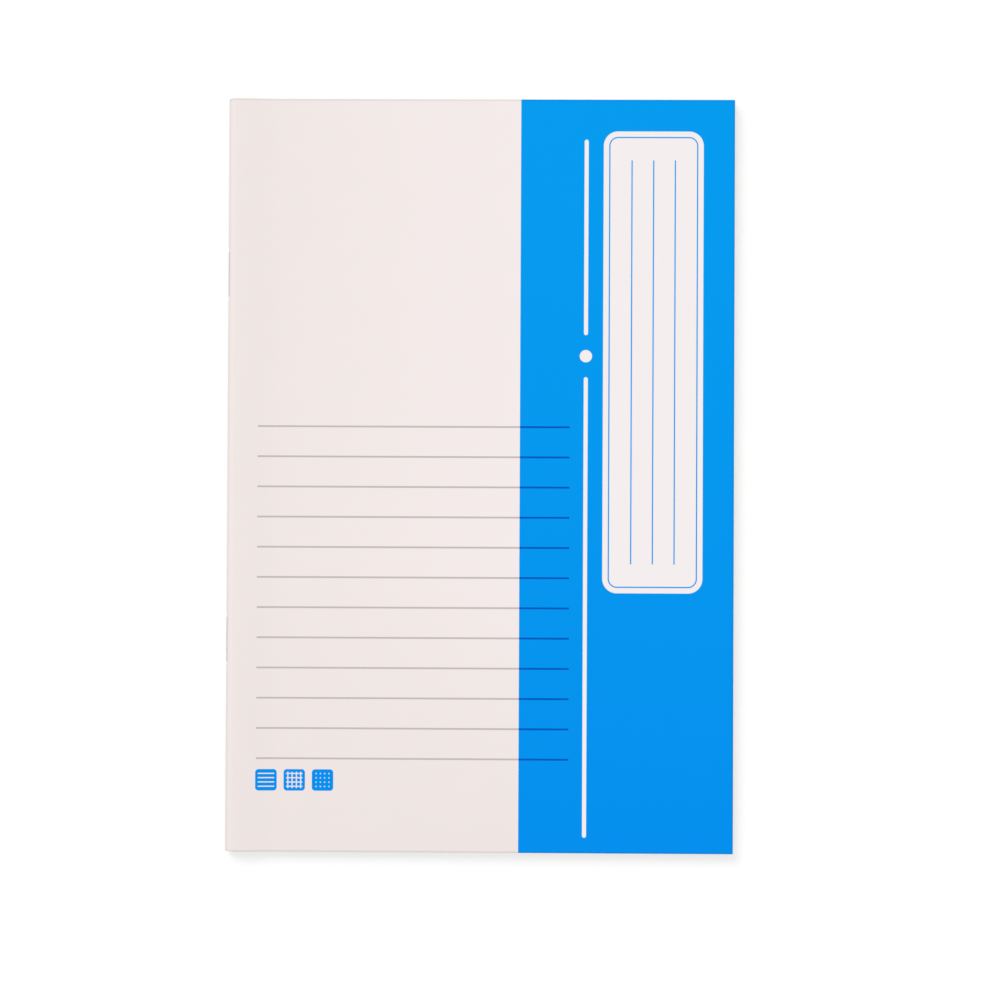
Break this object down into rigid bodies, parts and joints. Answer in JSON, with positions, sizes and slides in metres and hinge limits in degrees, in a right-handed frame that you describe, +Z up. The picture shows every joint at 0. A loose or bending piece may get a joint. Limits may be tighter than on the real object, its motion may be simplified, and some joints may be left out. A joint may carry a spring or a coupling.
{
  "type": "stapled exercise book",
  "caption": "Slim exercise book with a printed card cover folded round nested sheets of ruled paper, wire-stapled through the spine, with a cover and leaves that turn.",
  "frame": {"origin": "under the middle of the closed book, on the surface that its back cover lies on", "axes": "+X from the spine to the fore-edge, +Y from the tail to the head, +Z up through the leaves to the front cover"},
  "size_m": [0.1406, 0.208, 0.0042],
  "materials": {
    "cover_card": "printed, satin",
    "page_paper": "uncoated",
    "staple_wire": "drawn wire"
  },
  "bodies": {
    "book_base": {"back_cover": "cover_card", "cover_fold": "cover_card", "sheet_01_back_leaf": "page_paper", "sheet_01_fold": "page_paper"},
    "front_leaf_01": {"sheet_01_front_leaf": "page_paper"},
    "back_leaf_02": {"sheet_02_back_leaf": "page_paper", "sheet_02_fold": "page_paper"},
    "front_leaf_02": {"sheet_02_front_leaf": "page_paper"},
    "back_leaf_03": {"sheet_03_back_leaf": "page_paper", "sheet_03_fold": "page_paper"},
    "front_leaf_03": {"sheet_03_front_leaf": "page_paper"},
    "back_leaf_04": {"sheet_04_back_leaf": "page_paper", "sheet_04_fold": "page_paper"},
    "front_leaf_04": {"sheet_04_front_leaf": "page_paper"},
    "back_leaf_05": {"sheet_05_back_leaf": "page_paper", "sheet_05_fold": "page_paper"},
    "front_leaf_05": {"sheet_05_front_leaf": "page_paper"},
    "back_leaf_06": {"sheet_06_back_leaf": "page_paper", "sheet_06_fold": "page_paper"},
    "front_leaf_06": {"sheet_06_front_leaf": "page_paper"},
    "back_leaf_07": {"sheet_07_back_leaf": "page_paper", "sheet_07_fold": "page_paper"},
    "front_leaf_07": {"sheet_07_front_leaf": "page_paper"},
    "back_leaf_08": {"sheet_08_back_leaf": "page_paper", "sheet_08_fold": "page_paper"},
    "front_leaf_08": {"sheet_08_front_leaf": "page_paper"},
    "back_leaf_09": {"sheet_09_back_leaf": "page_paper", "sheet_09_fold": "page_paper"},
    "front_leaf_09": {"sheet_09_front_leaf": "page_paper"},
    "back_leaf_10": {"sheet_10_back_leaf": "page_paper", "sheet_10_fold": "page_paper"},
    "front_leaf_10": {"sheet_10_front_leaf": "page_paper"},
    "back_leaf_11": {"sheet_11_back_leaf": "page_paper", "sheet_11_fold": "page_paper"},
    "front_leaf_11": {"sheet_11_front_leaf": "page_paper"},
    "back_leaf_12": {"sheet_12_back_leaf": "page_paper", "sheet_12_fold": "page_paper"},
    "front_leaf_12": {"sheet_12_front_leaf": "page_paper"},
    "back_leaf_13": {"sheet_13_back_leaf": "page_paper", "sheet_13_fold": "page_paper"},
    "front_leaf_13": {"sheet_13_front_leaf": "page_paper"},
    "back_leaf_14": {"sheet_14_back_leaf": "page_paper", "sheet_14_fold": "page_paper"},
    "front_leaf_14": {"sheet_14_front_leaf": "page_paper"},
    "back_leaf_15": {"sheet_15_back_leaf": "page_paper", "sheet_15_fold": "page_paper"},
    "front_leaf_15": {"sheet_15_front_leaf": "page_paper"},
    "staples": {"upper_staple": "staple_wire", "lower_staple": "staple_wire"},
    "front_cover": {"front_cover": "cover_card"}
  },
  "joints": [
    {"name": "book_opening", "type": "hinge", "parent": "book_base", "child": "front_leaf_01", "pos_m": [-0.06764, 0, 0.00208], "axis": [0, -1, 0], "range_deg": [0, 178], "deforming": ["cover_fold", "sheet_01_fold"]},
    {"name": "sheet_02_lift", "type": "hinge", "parent": "book_base", "child": "back_leaf_02", "pos_m": [-0.06764, 0, 0.00208], "axis": [0, -1, 0], "range_deg": [0, 0.4386]},
    {"name": "sheet_02_opening", "type": "hinge", "parent": "back_leaf_02", "child": "front_leaf_02", "pos_m": [-0.06764, 0, 0.00208], "axis": [0, -1, 0], "range_deg": [0, 177.15], "deforming": ["sheet_02_fold"]},
    {"name": "sheet_03_lift", "type": "hinge", "parent": "book_base", "child": "back_leaf_03", "pos_m": [-0.06764, 0, 0.00208], "axis": [0, -1, 0], "range_deg": [0, 0.8671]},
    {"name": "sheet_03_opening", "type": "hinge", "parent": "back_leaf_03", "child": "front_leaf_03", "pos_m": [-0.06764, 0, 0.00208], "axis": [0, -1, 0], "range_deg": [0, 176.3], "deforming": ["sheet_03_fold"]},
    {"name": "sheet_04_lift", "type": "hinge", "parent": "book_base", "child": "back_leaf_04", "pos_m": [-0.06764, 0, 0.00208], "axis": [0, -1, 0], "range_deg": [0, 1.3]},
    {"name": "sheet_04_opening", "type": "hinge", "parent": "back_leaf_04", "child": "front_leaf_04", "pos_m": [-0.06764, 0, 0.00208], "axis": [0, -1, 0], "range_deg": [0, 175.44], "deforming": ["sheet_04_fold"]},
    {"name": "sheet_05_lift", "type": "hinge", "parent": "book_base", "child": "back_leaf_05", "pos_m": [-0.06764, 0, 0.00208], "axis": [0, -1, 0], "range_deg": [0, 1.72]},
    {"name": "sheet_05_opening", "type": "hinge", "parent": "back_leaf_05", "child": "front_leaf_05", "pos_m": [-0.06764, 0, 0.00208], "axis": [0, -1, 0], "range_deg": [0, 174.58], "deforming": ["sheet_05_fold"]},
    {"name": "sheet_06_lift", "type": "hinge", "parent": "book_base", "child": "back_leaf_06", "pos_m": [-0.06764, 0, 0.00208], "axis": [0, -1, 0], "range_deg": [0, 2.15]},
    {"name": "sheet_06_opening", "type": "hinge", "parent": "back_leaf_06", "child": "front_leaf_06", "pos_m": [-0.06764, 0, 0.00208], "axis": [0, -1, 0], "range_deg": [0, 173.72], "deforming": ["sheet_06_fold"]},
    {"name": "sheet_07_lift", "type": "hinge", "parent": "book_base", "child": "back_leaf_07", "pos_m": [-0.06764, 0, 0.00208], "axis": [0, -1, 0], "range_deg": [0, 2.58]},
    {"name": "sheet_07_opening", "type": "hinge", "parent": "back_leaf_07", "child": "front_leaf_07", "pos_m": [-0.06764, 0, 0.00208], "axis": [0, -1, 0], "range_deg": [0, 172.87], "deforming": ["sheet_07_fold"]},
    {"name": "sheet_08_lift", "type": "hinge", "parent": "book_base", "child": "back_leaf_08", "pos_m": [-0.06764, 0, 0.00208], "axis": [0, -1, 0], "range_deg": [0, 3.01]},
    {"name": "sheet_08_opening", "type": "hinge", "parent": "back_leaf_08", "child": "front_leaf_08", "pos_m": [-0.06764, 0, 0.00208], "axis": [0, -1, 0], "range_deg": [0, 172.01], "deforming": ["sheet_08_fold"]},
    {"name": "sheet_09_lift", "type": "hinge", "parent": "book_base", "child": "back_leaf_09", "pos_m": [-0.06764, 0, 0.00208], "axis": [0, -1, 0], "range_deg": [0, 3.44]},
    {"name": "sheet_09_opening", "type": "hinge", "parent": "back_leaf_09", "child": "front_leaf_09", "pos_m": [-0.06764, 0, 0.00208], "axis": [0, -1, 0], "range_deg": [0, 171.15], "deforming": ["sheet_09_fold"]},
    {"name": "sheet_10_lift", "type": "hinge", "parent": "book_base", "child": "back_leaf_10", "pos_m": [-0.06764, 0, 0.00208], "axis": [0, -1, 0], "range_deg": [0, 3.87]},
    {"name": "sheet_10_opening", "type": "hinge", "parent": "back_leaf_10", "child": "front_leaf_10", "pos_m": [-0.06764, 0, 0.00208], "axis": [0, -1, 0], "range_deg": [0, 170.3], "deforming": ["sheet_10_fold"]},
    {"name": "sheet_11_lift", "type": "hinge", "parent": "book_base", "child": "back_leaf_11", "pos_m": [-0.06764, 0, 0.00208], "axis": [0, -1, 0], "range_deg": [0, 4.3]},
    {"name": "sheet_11_opening", "type": "hinge", "parent": "back_leaf_11", "child": "front_leaf_11", "pos_m": [-0.06764, 0, 0.00208], "axis": [0, -1, 0], "range_deg": [0, 169.44], "deforming": ["sheet_11_fold"]},
    {"name": "sheet_12_lift", "type": "hinge", "parent": "book_base", "child": "back_leaf_12", "pos_m": [-0.06764, 0, 0.00208], "axis": [0, -1, 0], "range_deg": [0, 4.72]},
    {"name": "sheet_12_opening", "type": "hinge", "parent": "back_leaf_12", "child": "front_leaf_12", "pos_m": [-0.06764, 0, 0.00208], "axis": [0, -1, 0], "range_deg": [0, 168.58], "deforming": ["sheet_12_fold"]},
    {"name": "sheet_13_lift", "type": "hinge", "parent": "book_base", "child": "back_leaf_13", "pos_m": [-0.06764, 0, 0.00208], "axis": [0, -1, 0], "range_deg": [0, 5.15]},
    {"name": "sheet_13_opening", "type": "hinge", "parent": "back_leaf_13", "child": "front_leaf_13", "pos_m": [-0.06764, 0, 0.00208], "axis": [0, -1, 0], "range_deg": [0, 167.72], "deforming": ["sheet_13_fold"]},
    {"name": "sheet_14_lift", "type": "hinge", "parent": "book_base", "child": "back_leaf_14", "pos_m": [-0.06764, 0, 0.00208], "axis": [0, -1, 0], "range_deg": [0, 5.58]},
    {"name": "sheet_14_opening", "type": "hinge", "parent": "back_leaf_14", "child": "front_leaf_14", "pos_m": [-0.06764, 0, 0.00208], "axis": [0, -1, 0], "range_deg": [0, 166.87], "deforming": ["sheet_14_fold"]},
    {"name": "sheet_15_lift", "type": "hinge", "parent": "book_base", "child": "back_leaf_15", "pos_m": [-0.06764, 0, 0.00208], "axis": [0, -1, 0], "range_deg": [0, 6.01]},
    {"name": "sheet_15_opening", "type": "hinge", "parent": "back_leaf_15", "child": "front_leaf_15", "pos_m": [-0.06764, 0, 0.00208], "axis": [0, -1, 0], "range_deg": [0, 166.01], "deforming": ["sheet_15_fold"]},
    {"name": "staple_tilt", "type": "hinge", "parent": "book_base", "child": "staples", "pos_m": [-0.06764, 0, 0.00208], "axis": [0, -1, 0], "range_deg": [0, 89.01]},
    {"name": "cover_opening", "type": "hinge", "parent": "front_leaf_01", "child": "front_cover", "pos_m": [-0.06729, 0, 0.00449], "axis": [0, -1, 0], "range_deg": [0, 178]}
  ],
  "couplings": [
    {"joint": "sheet_02_lift", "follows": "book_opening", "ratio": 0.002408},
    {"joint": "sheet_02_opening", "follows": "book_opening", "ratio": 0.99518},
    {"joint": "sheet_03_lift", "follows": "book_opening", "ratio": 0.004815},
    {"joint": "sheet_03_opening", "follows": "book_opening", "ratio": 0.99037},
    {"joint": "sheet_04_lift", "follows": "book_opening", "ratio": 0.007223},
    {"joint": "sheet_04_opening", "follows": "book_opening", "ratio": 0.98555},
    {"joint": "sheet_05_lift", "follows": "book_opening", "ratio": 0.009631},
    {"joint": "sheet_05_opening", "follows": "book_opening", "ratio": 0.98074},
    {"joint": "sheet_06_lift", "follows": "book_opening", "ratio": 0.012039},
    {"joint": "sheet_06_opening", "follows": "book_opening", "ratio": 0.97592},
    {"joint": "sheet_07_lift", "follows": "book_opening", "ratio": 0.014446},
    {"joint": "sheet_07_opening", "follows": "book_opening", "ratio": 0.97111},
    {"joint": "sheet_08_lift", "follows": "book_opening", "ratio": 0.016854},
    {"joint": "sheet_08_opening", "follows": "book_opening", "ratio": 0.96629},
    {"joint": "sheet_09_lift", "follows": "book_opening", "ratio": 0.019262},
    {"joint": "sheet_09_opening", "follows": "book_opening", "ratio": 0.96148},
    {"joint": "sheet_10_lift", "follows": "book_opening", "ratio": 0.021669},
    {"joint": "sheet_10_opening", "follows": "book_opening", "ratio": 0.95666},
    {"joint": "sheet_11_lift", "follows": "book_opening", "ratio": 0.024077},
    {"joint": "sheet_11_opening", "follows": "book_opening", "ratio": 0.95185},
    {"joint": "sheet_12_lift", "follows": "book_opening", "ratio": 0.026485},
    {"joint": "sheet_12_opening", "follows": "book_opening", "ratio": 0.94703},
    {"joint": "sheet_13_lift", "follows": "book_opening", "ratio": 0.028892},
    {"joint": "sheet_13_opening", "follows": "book_opening", "ratio": 0.94222},
    {"joint": "sheet_14_lift", "follows": "book_opening", "ratio": 0.0313},
    {"joint": "sheet_14_opening", "follows": "book_opening", "ratio": 0.9374},
    {"joint": "sheet_15_lift", "follows": "book_opening", "ratio": 0.033708},
    {"joint": "sheet_15_opening", "follows": "book_opening", "ratio": 0.93258},
    {"joint": "staple_tilt", "follows": "book_opening", "ratio": 0.5}
  ]
}
